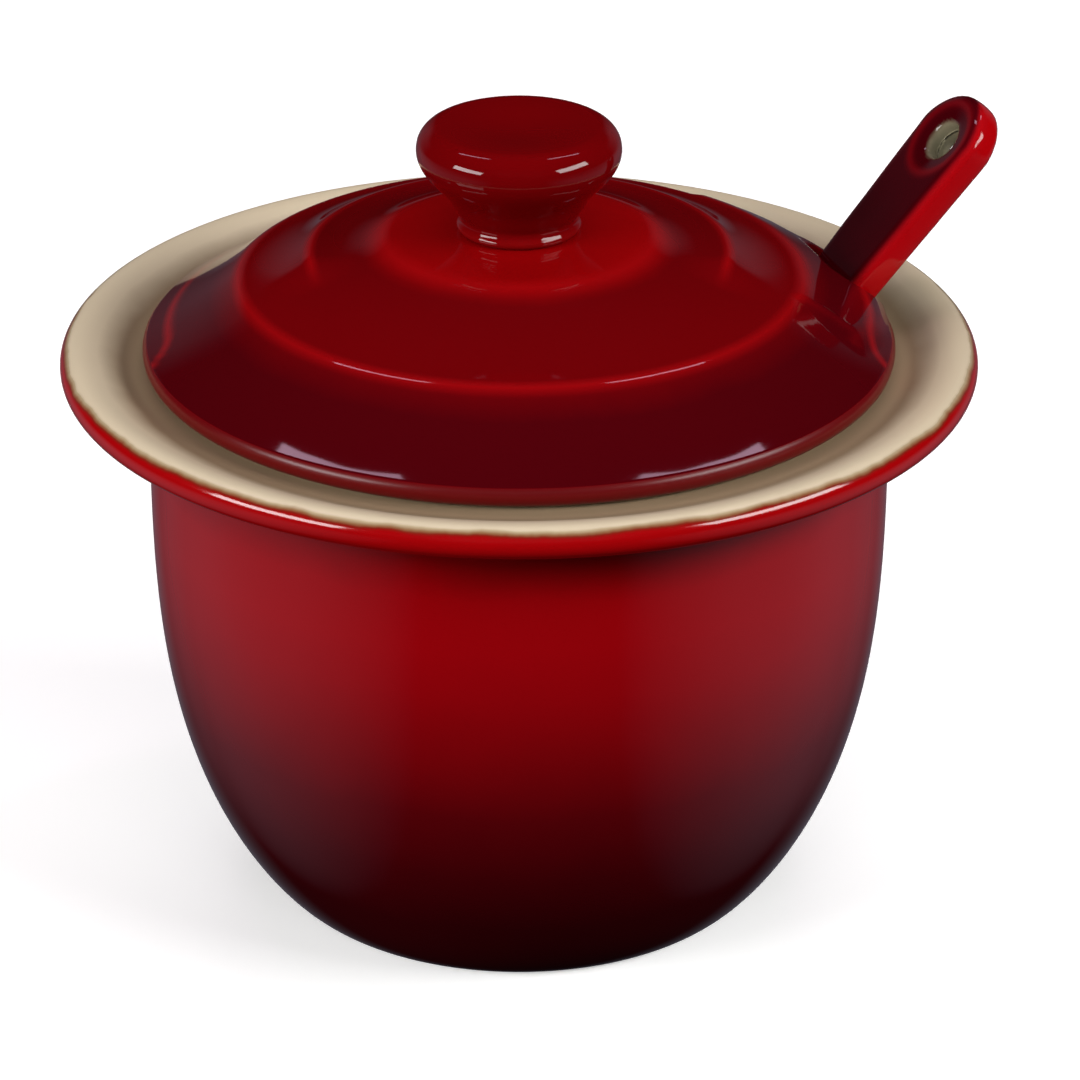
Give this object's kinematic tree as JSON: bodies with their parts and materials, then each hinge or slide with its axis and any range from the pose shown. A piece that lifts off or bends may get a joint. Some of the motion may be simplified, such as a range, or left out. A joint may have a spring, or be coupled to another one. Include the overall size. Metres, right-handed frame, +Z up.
{
  "type": "jam pot",
  "caption": "Round glazed stoneware condiment pot with a wide rim, a domed lid with a knob, and a spoon standing in the lid's notch.",
  "frame": {"origin": "centre of the pot's base, on the surface that it stands on", "axes": "+Z up along the pot's axis, +X towards the notch where the spoon leaves, +Y by the right-hand rule"},
  "size_m": [0.1268, 0.12, 0.1069],
  "materials": {
    "pot_glaze": "glossy red glaze outside, sprayed darker towards the foot, and satin cream glaze inside",
    "lid_glaze": "glossy red glaze, thinner and lighter on the crests of the rings",
    "knob_glaze": "glossy deep red glaze",
    "spoon_glaze": "glossy red glaze, bare cream clay inside the hanging hole"
  },
  "bodies": {
    "pot": {"pot": "pot_glaze"},
    "spoon": {"spoon": "spoon_glaze"},
    "lid": {"lid": "lid_glaze", "lid_knob": "knob_glaze"}
  },
  "joints": [
    {"name": "spoon_lift", "type": "slide", "parent": "pot", "child": "spoon", "axis": [0, 0, 1], "range_m": [0, 0.11]},
    {"name": "lid_lift", "type": "slide", "parent": "spoon", "child": "lid", "axis": [0, 0, 1], "range_m": [0, 0.08]}
  ]
}
